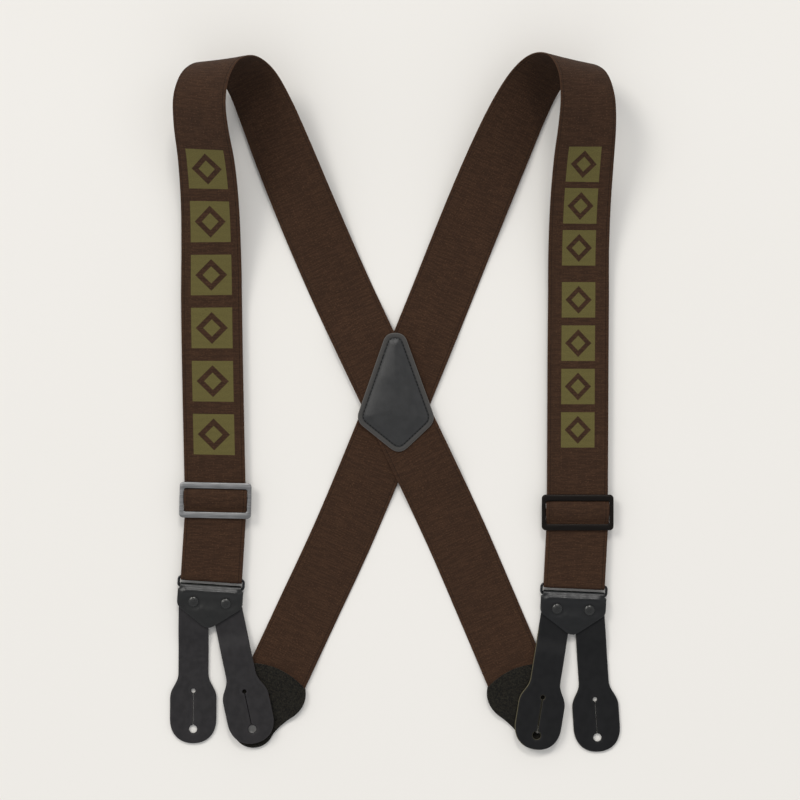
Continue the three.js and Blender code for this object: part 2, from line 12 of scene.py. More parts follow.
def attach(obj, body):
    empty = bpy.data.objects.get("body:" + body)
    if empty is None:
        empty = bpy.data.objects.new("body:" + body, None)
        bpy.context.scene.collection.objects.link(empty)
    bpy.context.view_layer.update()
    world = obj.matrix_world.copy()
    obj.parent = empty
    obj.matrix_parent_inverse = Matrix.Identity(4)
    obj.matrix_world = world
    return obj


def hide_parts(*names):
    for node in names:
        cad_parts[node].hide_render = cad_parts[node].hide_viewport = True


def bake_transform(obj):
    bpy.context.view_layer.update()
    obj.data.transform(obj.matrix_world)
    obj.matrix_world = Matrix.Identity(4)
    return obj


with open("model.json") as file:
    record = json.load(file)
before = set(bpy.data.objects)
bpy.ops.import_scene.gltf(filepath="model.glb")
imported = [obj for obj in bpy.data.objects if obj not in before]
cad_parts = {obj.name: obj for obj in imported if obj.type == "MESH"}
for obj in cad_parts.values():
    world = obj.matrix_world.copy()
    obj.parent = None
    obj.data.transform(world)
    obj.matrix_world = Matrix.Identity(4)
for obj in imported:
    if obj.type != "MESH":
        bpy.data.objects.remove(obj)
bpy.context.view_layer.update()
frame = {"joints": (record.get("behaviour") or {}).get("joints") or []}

# ---- driving dimensions, in millimetres ---------------------------------------------------

MM = 0.001
STRAP_WIDTH = 50.8
STRAP_THICK = 1.4
HALF_WEB = STRAP_THICK / 2
FOLD_RADIUS = 3.25
LAYER_TOP = 2 * FOLD_RADIUS
LAYER_MIDDLE = LAYER_TOP - HALF_WEB
GAP = 0.3
CREST = 208
PATCH_LEATHER = 1.2
PATCH_LIFT = PATCH_LEATHER + GAP
CROSS_LIFT = PATCH_LIFT + STRAP_THICK + GAP
PATCH_TOP_BOTTOM = CROSS_LIFT + STRAP_THICK + GAP
CROSSING = (0, -4.5)
REAR_LEATHER = 1.1
REAR_STACK = REAR_LEATHER + GAP
REAR_INNER_BOTTOM = REAR_STACK + STRAP_THICK + GAP
TAB_LEATHER = 2.2
TAB_BOTTOM = FOLD_RADIUS - TAB_LEATHER / 2
YOKE_LEATHER = 1.6
RING_BARS = 8.3
RING_WIRE = 2.2
RING_WIDTH = 56.2
RIVET_DROP = 11.8
RIVET_SPREAD = 26.8
RIVET_HEAD = 9
SLIT = 0.4  # a buttonhole's slit, as closed as it lies
SHARP_ANGLE = math.radians(52)  # edges that turn further than this are shaded as sharp

# One strap from its lower front end, over the shoulder, to its rear leather. A row gives how far
# along the webbing it is, the middle of the webbing, and how its width is turned and rolled.
STRAPS = {
    "left": [
        [-178.7, -149.8, -94.7, LAYER_MIDDLE, -1.3, 0],
        [-110, -151.3, -26, LAYER_MIDDLE, -1, 0],
        [-45, -152.6, 39, LAYER_MIDDLE, -0.2, 0],
        [0, -153.2, 84, 6.4, 0.6, 1],
        [40, -153.2, 123.6, 10.5, 0, 9],
        [80, -153.6, 163, 20, -2, 15],
        [115, -155.5, 196, 32, -4, 19],
        [148, -159, 225.6, 46.5, -7, 24],
        [170, -159.3, 246.8, 53, -9, 28],
        [190, -154.3, 265.9, 51, -9, 35],
        [208, -144.4, 277.5, 42, -2, 42],
        [226, -132.1, 276.8, 29.5, 11, 41],
        [246, -119.9, 264.5, 19.5, 19, 34],
        [272, -108.5, 241.6, 14.2, 21, 25],
        [308, -94.7, 207.9, 10.8, 22, 16],
        [350, -78.7, 168.5, 7, 23, 9],
        [396, -60.6, 125.7, 2.7, 24, 3],
        [441, -42.1, 84.1, HALF_WEB, 25, 0],
        [539.5, 0, -5, HALF_WEB, 25.2, 0],
        [652.9, 48.3, -107.5, HALF_WEB, 24.2, 0],
        [734.4, 80.6, -182.4, HALF_WEB, 23.1, 0],
        [785.2, 100.4, -229.2, HALF_WEB, 22.6, 0],
        [805.2, 108.1, -247.7, HALF_WEB, 22.6, 0],
    ],
    "right": [
        [-188.7, 150.5, -104.7, LAYER_MIDDLE, 0, 0],
        [-110, 150.9, -26, LAYER_MIDDLE, 0, 0],
        [-45, 151.2, 39, LAYER_MIDDLE, 0, 0],
        [0, 151.5, 84, 6.4, 0, -1],
        [40, 151.4, 123.8, 10.5, 0, -4],
        [80, 152.2, 163.2, 20, 0, -6],
        [115, 154, 196.8, 31.5, 0, -10],
        [148, 156.1, 227.5, 44, 4, -18],
        [170, 155.8, 249.1, 48.8, 6, -26],
        [190, 151.6, 268.2, 46, 5, -36],
        [208, 141.8, 279.2, 36.5, -5, -43],
        [226, 128.8, 277.4, 24.5, -17, -41],
        [246, 115.9, 264.8, 16, -23, -34],
        [272, 102.8, 242.4, 12, -24, -25],
        [308, 87.5, 209.3, 9.6, -23.5, -15],
        [350, 70.8, 170, 6.6, -23, -7],
        [396, 53.2, 126.7, 2.5, -22, -2],
        [441, 36.3, 84.1, HALF_WEB, -22.2, 0],
        [537.2, 0, -5, HALF_WEB, -22.3, 0],
        [648.2, -42.6, -107.5, HALF_WEB, -23.7, 0],
        [730.7, -77.3, -182.4, HALF_WEB, -24.9, 0],
        [782.8, -99.3, -229.6, HALF_WEB, -25.2, 0],
        [802.8, -107.8, -247.7, HALF_WEB, -25.2, 0],
    ],
}

SIDES = {
    "left": {
        "out": -1,
        "adjuster": (-149.9, -82.5, -1.3),
        "ring": (-153.5, -147.3, -3.9),
        "tabs": {"outer": -0.4, "inner": 12},
        "rear": (100.4, -229.2, 22.6),
        "rear_distance": 785.2,
        "lift": CROSS_LIFT,
        "tiles": [(109.2, 44.2, 6)],
        "tile_size": (17.2, 17),
    },
    "right": {
        "out": 1,
        "adjuster": (150.7, -92.5, 0),
        "ring": (148.1, -153, -2.6),
        "tabs": {"outer": 3.8, "inner": -9.2},
        "rear": (-99.3, -229.6, -25.2),
        "rear_distance": 782.8,
        "lift": PATCH_LIFT,
        "tiles": [(112.5, 34.7, 3), (0, 36, 4)],
        "tile_size": (14, 14.8),
    },
}


def joint(name):
    return next(j for j in frame["joints"] if j["name"] == name)


# where the layout's own zero lies in the frame
SHIFT = np.array(joint("left_ring_hinge")["pos_m"]) - np.array([-153.5, -147.3, FOLD_RADIUS]) * MM


# ---- meshes -------------------------------------------------------------------------------

def signed_volume(points, faces):
    total = 0.0
    for face in faces:
        a = points[face[0]]
        for i in range(1, len(face) - 1):
            total += np.dot(a, np.cross(points[face[i]], points[face[i + 1]]))
    return total


def make_piece(name, points, faces, material, attributes=None):
    """A closed mesh from points in the layout's millimetres, with its faces turned outwards."""
    points = np.asarray(points, float)
    if signed_volume(points, faces) < 0:
        faces = [tuple(reversed(f)) for f in faces]
    mesh = bpy.data.meshes.new(name)
    mesh.from_pydata((points * MM + SHIFT).tolist(), [], faces)
    mesh.shade_smooth()
    mesh.set_sharp_from_angle(angle=SHARP_ANGLE)
    for key, values in (attributes or {}).items():
        values = np.asarray(values, np.float32)
        if values.ndim == 2:
            made = mesh.attributes.new(key, "FLOAT_VECTOR", "POINT")
            made.data.foreach_set("vector", values.ravel())
        else:
            made = mesh.attributes.new(key, "FLOAT", "POINT")
            made.data.foreach_set("value", values)
    mesh.materials.append(material)
    piece = bpy.data.objects.new(name, mesh)
    bpy.context.scene.collection.objects.link(piece)
    return piece


def turned(x, y, degrees):
    a = math.radians(degrees)
    return x * math.cos(a) - y * math.sin(a), x * math.sin(a) + y * math.cos(a)


def beside(where, x, y):
    """Where a point of a part's own frame lies in the layout."""
    dx, dy = turned(x, y, where[2])
    return where[0] + dx, where[1] + dy


def metres(point):
    return tuple(np.array(point) * MM + SHIFT)


def place(points, x, y, degrees):
    """Points in a part's own frame, moved to where that part lies."""
    points = np.array(points, float)
    px, py = points[:, 0].copy(), points[:, 1].copy()
    moved_x, moved_y = turned(px, py, degrees)
    points[:, 0] = x + moved_x
    points[:, 1] = y + moved_y
    return points


def smooth(low, high, value):
    t = np.clip((value - low) / (high - low), 0, 1)
    return t * t * (3 - 2 * t)


def arc(x, y, radius, start, end, steps):
    angles = np.radians(np.linspace(start, end, steps + 1))
    return [(x + radius * math.cos(a), y + radius * math.sin(a)) for a in angles]


def bezier(points, steps):
    a, b, c, d = [np.array(p, float) for p in points]
    made = []
    for i in range(steps + 1):
        t = i / steps
        u = 1 - t
        made.append(tuple(a * u ** 3 + b * 3 * u * u * t + c * 3 * u * t * t + d * t ** 3))
    return made


def mirrored(half):
    """A closed outline from its right half, which starts and ends on the middle line."""
    return half + [(-x, y) for x, y in reversed(half[1:-1])]


def resample(loop, spacing):
    """The same closed loop with its long sides cut into steps of about the spacing."""
    made = []
    for (ax, ay), (bx, by) in zip(loop, loop[1:] + loop[:1]):
        length = math.hypot(bx - ax, by - ay)
        if length < 1e-4:
            continue
        steps = max(1, round(length / spacing))
        made += [(ax + (bx - ax) * i / steps, ay + (by - ay) * i / steps) for i in range(steps)]
    return made


def edge_distance(points, loops):
    """How far each point lies from the nearest of the loops."""
    best = np.full(len(points), 1e9)
    for loop in loops:
        a = np.array(loop)
        ab = np.roll(a, -1, 0) - a
        length = (ab ** 2).sum(1)
        for start, along, squared in zip(a, ab, length):
            t = np.clip(((points - start) @ along) / squared, 0, 1)
            best = np.minimum(best, np.hypot(*(points - start - t[:, None] * along).T))
    return best


def inside(points, loops):
    crossings = np.zeros(len(points), int)
    x, y = points[:, 0], points[:, 1]
    for loop in loops:
        for (ax, ay), (bx, by) in zip(loop, loop[1:] + loop[:1]):
            if ay == by:
                continue
            straddles = (ay > y) != (by > y)
            crossings += straddles & (x < (bx - ax) * (y - ay) / (by - ay) + ax)
    return crossings % 2 == 1


def plan_mesh(loops, spacing, rims):
    """Triangles that fill an outline with holes, and each point's distance from a cut edge."""
    loops = [resample(loops[0], spacing)] + [resample(h, spacing / 2) for h in loops[1:]]
    fixed, edges = [], []
    for loop in loops:
        first = len(fixed)
        fixed += loop
        edges += [(first + i, first + (i + 1) % len(loop)) for i in range(len(loop))]
    free = []
    for loop in loops:
        a = np.array(loop)
        along = np.roll(a, -1, 0) - np.roll(a, 1, 0)
        along /= np.hypot(*along.T)[:, None]
        for rim in rims:
            for turn in (1, -1):
                ring = a + turn * rim * np.stack([-along[:, 1], along[:, 0]], 1)
                keep = inside(ring, loops) & (edge_distance(ring, loops) > 0.9 * rim)
                free += ring[keep].tolist()
    low, high = np.min(loops[0], 0), np.max(loops[0], 0)
    rows = np.arange(low[1], high[1], spacing * 0.87)
    grid = []
    for i, y in enumerate(rows):
        grid += [(x, y) for x in np.arange(low[0] + (i % 2) * spacing / 2, high[0], spacing)]
    grid = np.array(grid)
    keep = inside(grid, loops) & (edge_distance(grid, loops) > rims[-1] + 0.5 * spacing)
    free += grid[keep].tolist()
    made = delaunay_2d_cdt([Vector(p) for p in fixed + free], edges, [], 0, 1e-5)
    points = np.array([tuple(v) for v in made[0]])
    faces = [f for f in made[2] if len(f) == 3]
    middles = np.array([points[list(f)].mean(0) for f in faces])
    faces = [tuple(f) for f, keep in zip(faces, inside(middles, loops)) if keep]
    used = sorted({i for f in faces for i in f})
    number = {old: new for new, old in enumerate(used)}
    points = points[used]
    return points, [tuple(number[i] for i in f) for f in faces], edge_distance(points, loops)


def leather_mesh(loops, thick, bend, spacing, round_edge, raised=None, extra=None):
    """Leather cut to an outline. bend(x, y, height) places it; raised(x, y, distance) swells it."""
    rims = [round_edge * 0.3, round_edge]
    plan, triangles, distance = plan_mesh(loops, spacing, rims)
    x, y = plan[:, 0], plan[:, 1]
    inner = 1 - np.clip(distance / round_edge, 0, 1)
    drop = round_edge * (1 - np.sqrt(1 - inner ** 2))
    top = thick - drop + (raised(x, y, distance) if raised else 0)
    points = np.concatenate([bend(x, y, top), bend(x, y, drop)])
    count = len(plan)
    faces = list(triangles) + [tuple(i + count for i in reversed(f)) for f in triangles]
    sides = {(f[i], f[(i + 1) % 3]) for f in triangles for i in range(3)}
    faces += [(b, a, a + count, b + count) for a, b in sides if (b, a) not in sides]
    attributes = {"edge": np.tile(np.exp(-distance / 0.5), 2)}
    flat = np.stack([x, y, distance], 1)
    attributes["plan"] = np.concatenate([flat, flat])
    if extra:
        attributes.update({key: np.tile(values(x, y, distance), 2) for key, values in extra.items()})
    return points, faces, attributes


# ---- materials ----------------------------------------------------------------------------

class Shader:
    """A material's node tree, written as formulas."""

    def __init__(self, name):
        self.material = bpy.data.materials.new(name)
        self.material.use_nodes = True
        self.tree = self.material.node_tree
        self.surface = self.tree.nodes["Principled BSDF"]

    def node(self, kind, **settings):
        made = self.tree.nodes.new(kind)
        for key, value in settings.items():
            setattr(made, key, value)
        return made

    def put(self, socket, value):
        if isinstance(value, bpy.types.NodeSocket):
            self.tree.links.new(value, socket)
        else:
            socket.default_value = value

    def math(self, operation, *values):
        made = self.node("ShaderNodeMath", operation=operation)
        for socket, value in zip(made.inputs, values):
            self.put(socket, value)
        return made.outputs[0]

    def times(self, a, b):
        return self.math("MULTIPLY", a, b)

    def plus(self, a, b):
        return self.math("ADD", a, b)

    def minus(self, a, b):
        return self.math("SUBTRACT", a, b)

    def attribute(self, name):
        return self.node("ShaderNodeAttribute", attribute_name=name)

    def split(self, vector):
        made = self.node("ShaderNodeSeparateXYZ")
        self.put(made.inputs[0], vector)
        return made.outputs

    def join(self, x, y, z):
        made = self.node("ShaderNodeCombineXYZ")
        for socket, value in zip(made.inputs, (x, y, z)):
            self.put(socket, value)
        return made.outputs[0]

    def noise(self, vector, scale, detail=2.0, roughness=0.5):
        made = self.node("ShaderNodeTexNoise")
        self.put(made.inputs["Vector"], vector)
        made.inputs["Scale"].default_value = scale
        made.inputs["Detail"].default_value = detail
        made.inputs["Roughness"].default_value = roughness
        return made.outputs[0]

    def cells(self, vector, scale):
        made = self.node("ShaderNodeTexVoronoi", feature="DISTANCE_TO_EDGE")
        self.put(made.inputs["Vector"], vector)
        made.inputs["Scale"].default_value = scale
        return made.outputs[0]

    def remap(self, value, low, high, to_low=0.0, to_high=1.0):
        made = self.node("ShaderNodeMapRange", interpolation_type="SMOOTHSTEP")
        for socket, given in zip(made.inputs, (value, low, high, to_low, to_high)):
            self.put(socket, given)
        return made.outputs[0]

    def mix(self, factor, a, b):
        made = self.node("ShaderNodeMix", data_type="RGBA")
        sockets = [s for s in made.inputs if s.enabled]
        for socket, value in zip(sockets, (factor, a, b)):
            self.put(socket, value)
        return [s for s in made.outputs if s.enabled][0]

    def bump(self, height, distance, strength=1.0):
        made = self.node("ShaderNodeBump")
        made.inputs["Strength"].default_value = strength
        made.inputs["Distance"].default_value = distance
        self.put(made.inputs["Height"], height)
        self.put(self.surface.inputs["Normal"], made.outputs[0])

    def set(self, **values):
        for key, value in values.items():
            self.put(self.surface.inputs[key.replace("_", " ")], value)
        return self.material


def rgb(red, green, blue):
    """A linear colour from one given on the 0 to 255 scale."""
    def linear(v):
        v /= 255
        return v / 12.92 if v <= 0.04045 else ((v + 0.055) / 1.055) ** 2.4
    return (linear(red), linear(green), linear(blue), 1.0)


CORD = 0.62  # across the webbing, from one lengthwise cord to the next
RIB = 0.97  # along it, from one crosswise rib to the next
SELVEDGE = 22.7  # the line that parts the selvedge from the rest, from the middle


def printed_tiles(s, along, far, tiles, tile_size):
    """Where the ink lies: rows of square tiles, each with a diamond ring left bare."""
    half_width, half_height = tile_size
    u = s.math("DIVIDE", far, half_width)
    ink = 0.0
    for first, pitch, count in tiles:
        offset = s.minus(along, first)
        local = s.math("WRAP", offset, pitch / 2, -pitch / 2)
        v = s.math("DIVIDE", s.math("ABSOLUTE", local), half_height)
        in_tile = s.remap(s.math("MAXIMUM", u, v), 0.985, 1.0, 1.0, 0.0)
        diamond = s.plus(u, v)
        bare = s.times(s.remap(diamond, 0.40, 0.44), s.remap(diamond, 0.76, 0.80, 1.0, 0.0))
        reach = s.math("ABSOLUTE", s.plus(offset, pitch * (count - 1) / 2))
        in_row = s.math("LESS_THAN", reach, pitch * count / 2)
        ink = s.math("MAXIMUM", ink, s.times(s.times(in_tile, s.minus(1.0, bare)), in_row))
    return ink


def webbing_material(name, tiles, tile_size):
    """Brown elastic webbing: ribs, weft threads, selvedges with painted shade in their grooves, and the
    printed tiles on its outer face.
    """
    s = Shader(name)
    strap = s.attribute("strap").outputs["Vector"]
    across, along, face = s.split(strap)
    far = s.math("ABSOLUTE", across)

    def streaked(x_scale, y_scale, scale, detail):
        return s.noise(s.join(s.times(across, x_scale), s.times(along, y_scale), face), scale, detail)

    run = s.plus(along, s.times(streaked(1.0, 0.2, 0.3, 1.0), 0.6))
    rib = s.math("SINE", s.times(run, 2 * math.pi / RIB))
    cord = s.math("SINE", s.times(across, 2 * math.pi / CORD))
    weave = s.plus(s.times(rib, 0.62), s.times(cord, 0.38))
    groove = s.remap(s.math("ABSOLUTE", s.minus(far, SELVEDGE)), 0.0, 0.55, 1.0, 0.0)
    flecks = s.remap(streaked(0.7, 1.1, 0.9, 1.0), 0.55, 0.75)
    patches = s.remap(streaked(0.6, 0.35, 0.09, 3.0), 0.35, 0.65)
    rows = s.remap(streaked(0.12, 1.0, 0.8, 2.0), 0.42, 0.62)
    columns = s.remap(streaked(1.0, 0.02, 0.45, 2.0), 0.4, 0.65)
    colour = s.mix(s.remap(weave, -0.9, 0.9), rgb(39, 25, 17), rgb(70, 48, 33))
    colour = s.mix(s.times(flecks, 0.28), colour, rgb(118, 86, 61))
    colour = s.mix(s.times(patches, 0.25), colour, rgb(50, 34, 24))
    colour = s.mix(s.times(rows, 0.28), colour, rgb(84, 59, 42))
    colour = s.mix(s.times(columns, 0.13), colour, rgb(38, 25, 18))
    # painted shade: the selvedge groove is darkened towards near-black
    colour = s.mix(s.times(groove, 0.45), colour, rgb(24, 16, 12))
    colour = s.mix(s.remap(far, 24.6, 25.3, 0.0, 0.4), colour, rgb(84, 58, 44))
    if tiles:
        ink = s.times(printed_tiles(s, along, far, tiles, tile_size), s.math("GREATER_THAN", face, 0.5))
        worn = s.remap(s.noise(s.join(across, along, 0.0), 1.6, 2.0), 0.35, 0.62, 0.72, 1.0)
        ink_colour = s.mix(s.remap(weave, -0.9, 0.6), rgb(84, 76, 42), rgb(114, 107, 62))
        colour = s.mix(s.times(ink, worn), colour, ink_colour)
    height = s.minus(weave, s.times(groove, 1.6))
    s.bump(s.plus(height, s.times(flecks, 0.8)), 0.00013, 1.0)
    return s.set(Base_Color=colour, Roughness=0.8, Specular_IOR_Level=0.12, Sheen_Weight=0.02,
                 Sheen_Roughness=0.5)


def leather_material(name, base, roughness=0.44, specular=0.35, raw=None, grain=1.0):
    """Smooth finished leather: fine grain, burnished edges, and a pale raw cut where raw says so."""
    s = Shader(name)
    plan = s.attribute("plan").outputs["Vector"]
    edge = s.attribute("edge").outputs["Fac"]
    pores = s.cells(plan, 1.5)
    cloud = s.noise(plan, 0.16, 3.0)
    fine = s.noise(plan, 3.2, 2.0)
    dark = tuple(v * 0.72 for v in base[:3]) + (1.0,)
    light = tuple(v * 1.5 + 0.002 for v in base[:3]) + (1.0,)
    colour = s.mix(s.remap(cloud, 0.3, 0.7), dark, base)
    colour = s.mix(s.times(s.remap(fine, 0.5, 0.75), 0.35), colour, light)
    colour = s.mix(s.times(edge, 0.75), colour, light)
    if raw:
        mask = s.attribute("raw").outputs["Fac"]
        colour = s.mix(s.times(mask, s.remap(fine, 0.3, 0.6, 0.5, 1.0)), colour, raw)
    s.bump(s.plus(s.remap(pores, 0.0, 0.25), s.times(fine, 0.8)), 0.00005 * grain, 0.55)
    rough = s.remap(cloud, 0.25, 0.75, roughness - 0.07, roughness + 0.08)
    return s.set(Base_Color=colour, Roughness=rough, Specular_IOR_Level=specular)


def patch_material(name):
    """The cross patch: a matt border around a smoother, glossier raised middle, with painted shade along
    the stitch groove.
    """
    s = Shader(name)
    plan = s.attribute("plan").outputs["Vector"]
    distance = s.split(plan)[2]
    border = s.remap(distance, 3.6, 5.4, 1.0, 0.0)
    edge = s.remap(distance, 0.0, 0.9, 1.0, 0.0)
    cloud = s.noise(plan, 0.12, 3.0)
    fine = s.noise(plan, 2.6, 3.0)
    groove = s.remap(s.math("ABSOLUTE", s.minus(distance, 4.3)), 0.3, 1.3, 1.0, 0.0)
    colour = s.mix(s.remap(cloud, 0.3, 0.7), rgb(32, 32, 32), rgb(40, 40, 40))
    colour = s.mix(border, colour, s.mix(s.remap(fine, 0.35, 0.65), rgb(46, 44, 42), rgb(60, 58, 55)))
    colour = s.mix(s.times(edge, 0.55), colour, rgb(100, 96, 91))
    # painted shade: the band along the stitch groove is darkened almost to black
    colour = s.mix(s.times(groove, 0.9), colour, rgb(9, 9, 9))
    colour = s.mix(s.times(s.remap(fine, 0.5, 0.8), 0.3), colour, rgb(70, 70, 70))
    s.bump(s.plus(fine, s.remap(s.cells(plan, 1.3), 0.0, 0.3)), 0.00004, 0.5)
    rough = s.remap(border, 0.0, 1.0, 0.4, 0.64)
    return s.set(Base_Color=colour, Roughness=rough, Specular_IOR_Level=0.5)


def suede_material(name):
    s = Shader(name)
    plan = s.attribute("plan").outputs["Vector"]
    fibres = s.noise(plan, 0.85, 5.0, 0.75)
    swirls = s.noise(plan, 0.35, 3.0)
    colour = s.mix(s.remap(fibres, 0.4, 0.68), rgb(2, 2, 2), rgb(43, 39, 30))
    colour = s.mix(s.times(s.remap(swirls, 0.45, 0.7), 0.4), colour, rgb(44, 42, 34))
    s.bump(s.plus(fibres, swirls), 0.0006, 1.0)
    return s.set(Base_Color=colour, Roughness=0.97, Specular_IOR_Level=0.08, Sheen_Weight=0.1,
                 Sheen_Roughness=0.6)


def metal_material(name, base, roughness, streaks):
    """Lacquered or blackened metal with fine lengthwise streaks and small pits."""
    s = Shader(name)
    where = s.node("ShaderNodeTexCoord").outputs["Object"]
    x, y, z = s.split(where)
    drawn = s.noise(s.join(s.times(x, 60.0), s.times(y, 900.0), z), 1.0, 3.0)
    pits = s.noise(where, 900.0, 2.0)
    light = tuple(min(1.0, v * 1.55) for v in base[:3]) + (1.0,)
    colour = s.mix(s.times(s.remap(drawn, 0.35, 0.7), streaks), base, light)
    rough = s.remap(pits, 0.3, 0.7, roughness - 0.06, roughness + 0.1)
    s.bump(s.plus(drawn, pits), 0.00003, 0.5 * streaks + 0.1)
    return s.set(Base_Color=colour, Roughness=rough, Metallic=1.0)


def thread_material(name, base):
    s = Shader(name)
    where = s.node("ShaderNodeTexCoord").outputs["Object"]
    twist = s.noise(where, 2600.0, 1.0)
    colour = s.mix(s.remap(twist, 0.35, 0.65), tuple(v * 0.5 for v in base[:3]) + (1.0,), base)
    s.bump(twist, 0.00005, 0.6)
    return s.set(Base_Color=colour, Roughness=0.7, Specular_IOR_Level=0.3)


def floor_material():
    s = Shader("floor")
    where = s.node("ShaderNodeTexCoord").outputs["Object"]
    colour = s.mix(s.noise(where, 3.0, 2.0), rgb(238, 235, 229), rgb(240, 237, 232))
    return s.set(Base_Color=colour, Roughness=0.9, Specular_IOR_Level=0.1)


WEBBING = {n: webbing_material(f"webbing_{n}", s["tiles"], s["tile_size"]) for n, s in SIDES.items()}
PLAIN_WEBBING = webbing_material("webbing_plain", [], (1, 1))
# the left tabs' leather is a lighter copy of the right's black: painted reflection of the light from the
# left
TAB_LEATHERS = {
    "left": leather_material("leather_left_painted_reflection", rgb(41, 39, 40), roughness=0.5, specular=0.22),
    "right": leather_material("leather_right", rgb(20, 20, 21), 0.48, 0.2, raw=rgb(120, 112, 84)),
}
# the left yoke's leather is a little lighter than the right's: painted reflection of the light from the
# left
YOKE_LEATHERS = {
    "left": leather_material("yoke_left_painted_reflection", rgb(14, 14, 12), roughness=0.33, specular=0.5, grain=0.35),
    "right": leather_material("yoke_right", rgb(10, 11, 12), roughness=0.35, specular=0.42, grain=0.35),
}
REAR_OUTER = leather_material("leather_rear", rgb(20, 20, 21), 0.48, 0.22)
SUEDE = suede_material("suede")
PATCH = patch_material("patch_leather")
# the left adjuster's light grey is a lit copy of the right's dark finish: painted reflection of the light
# from the left
ADJUSTER_METALS = {
    "left": metal_material("gunmetal", rgb(126, 126, 126), 0.46, 0.9),
    "right": metal_material("dark_gunmetal", rgb(36, 33, 31), 0.36, 0.35),
}
BLACK_METAL = metal_material("black_metal", rgb(52, 52, 53), 0.28, 0.25)
RIVET_METAL = metal_material("rivet_metal", rgb(66, 66, 65), 0.3, 0.2)
THREAD = thread_material("thread", rgb(9, 8, 8))


# ---- webbing ------------------------------------------------------------------------------

def along_rows(rows, distance):
    """A smooth curve through rows that each start with their distance along."""
    i = 0
    while i < len(rows) - 2 and rows[i + 1][0] < distance:
        i += 1
    span = rows[i + 1][0] - rows[i][0]
    t = (distance - rows[i][0]) / span

    def slope(k):
        before, after = rows[max(k - 1, 0)], rows[min(k + 1, len(rows) - 1)]
        return (after - before) / (after[0] - before[0])

    value = rows[i] * (2 * t ** 3 - 3 * t ** 2 + 1) + rows[i + 1] * (3 * t ** 2 - 2 * t ** 3)
    value = value + slope(i) * span * (t ** 3 - 2 * t ** 2 + t)
    return value + slope(i + 1) * span * (t ** 3 - t ** 2)


def strap_frame(side, distance):
    """The middle of the webbing and the direction of its width, at a distance along one strap."""
    rows = np.array(STRAPS[side], float)
    _, x, y, z, turn, roll = along_rows(rows, distance)
    s = SIDES[side]
    if distance > CREST:
        off = math.hypot(x - CROSSING[0], y - CROSSING[1])
        z += s["lift"] * (1 - smooth(60, 95, off)) * float(y < 110)
        z += REAR_STACK * smooth(s["rear_distance"] - 45, s["rear_distance"] - 12, distance)
    turn, roll = math.radians(turn), math.radians(roll)
    level = math.cos(roll)
    width = np.array([math.cos(turn) * level, math.sin(turn) * level, math.sin(roll)])
    return np.array([x, y, z]), width


def web_section():
    """How far across each line of the webbing lies, and half its thickness there."""
    edge = [25.4, 25.25, 24.9, 24.4, 23.7, 23.0, 22.7, 22.4, 21.6]
    across = edge + list(np.linspace(19.5, -19.5, 14)) + [-v for v in reversed(edge)]
    across = np.array(across[::-1])
    far = np.abs(across)
    rounding = np.clip((far - (STRAP_WIDTH / 2 - 0.9)) / 0.9, 0, 1)
    half = HALF_WEB * np.sqrt(1 - rounding ** 2)
    half -= 0.12 * np.exp(-((far - SELVEDGE) / 0.35) ** 2)
    half -= 0.08 * (far > SELVEDGE) * (rounding < 1)
    return across, np.maximum(half, 0)


def webbing(name, stations, material, swell=None):
    """Webbing swept along stations: each a distance, a middle, a width direction and an up."""
    across, half = web_section()
    count = len(across)
    points, strap = [], []
    for distance, middle, width, up in stations:
        rise = swell(distance) if swell else 0
        for face in (1, -1):
            for a, h in zip(across, half):
                points.append(middle + width * a + up * (face * h + rise))
                strap.append((a, distance, face if h > 0.05 else 0.0))
    faces = []
    ring = list(range(count)) + [count + i for i in reversed(range(count))]
    for s in range(len(stations) - 1):
        low, high = s * 2 * count, (s + 1) * 2 * count
        for a, b in zip(ring, ring[1:] + ring[:1]):
            faces.append((low + a, low + b, high + b, high + a))
    for s, turn in ((0, 1), (len(stations) - 1, -1)):
        base = s * 2 * count
        for i in range(count - 1):
            quad = (base + i, base + count + i, base + count + i + 1, base + i + 1)
            faces.append(quad[::turn])
    return make_piece(name, points, faces, material, {"strap": strap})


def with_headings(path):
    """Adds each station's up direction, square to the way the webbing runs and to its width."""
    made = []
    for i, (distance, middle, width) in enumerate(path):
        heading = path[min(i + 1, len(path) - 1)][1] - path[max(i - 1, 0)][1]
        up = np.cross(width, heading)
        made.append((distance, middle, width, up / np.linalg.norm(up)))
    return made


SHOULDER_START = 150  # where the strap begins to turn over the shoulder, and where it has turned
SHOULDER_END = 244


def shoulder_line(side):
    """A line across the shoulder's fold that runs square to the webbing's width at both its ends."""
    first, first_width = strap_frame(side, SHOULDER_END)
    last, last_width = strap_frame(side, SHOULDER_START)
    across = np.cross(last_width, first_width)
    across /= np.linalg.norm(across)
    end = first + across * ((last - first) @ across)
    return metres(first), metres(end)


def long_strap(side):
    """Front, shoulder and back of one strap: one run of webbing, parted where its bodies part."""
    rows = STRAPS[side]
    # both ends of the shoulder are among these steps
    steps = [(rows[0][0], 0, 4.0), (0, 300, 2.0), (300, rows[-1][0], 3.5)]
    distances = []
    for start, end, step in steps:
        distances += list(np.arange(start, end, step))
    distances.append(rows[-1][0])
    path = with_headings([(d, *strap_frame(side, d)) for d in distances])
    runs = {
        "front": (rows[0][0], SHOULDER_START, ["strap_front"], "laid"),
        "shoulder": (SHOULDER_START, SHOULDER_END, ["shoulder_front", "shoulder_rear"], "folded"),
        "rear": (SHOULDER_END, rows[-1][0], ["strap_rear"], "laid"),
    }
    for name, (first, last, stands_for, held) in runs.items():
        stations = [station for station in path if first <= station[0] <= last]
        piece = webbing(f"{side}_webbing_{name}", stations, WEBBING[side])
        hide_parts(*[f"{side}_{node}" for node in stands_for])
        if name == "front":
            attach(piece, f"{side}_front")
        elif name == "rear":
            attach(piece, "back")
        else:
            start, end = shoulder_line(side)
            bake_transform(piece)
            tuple(start)
            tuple(end)


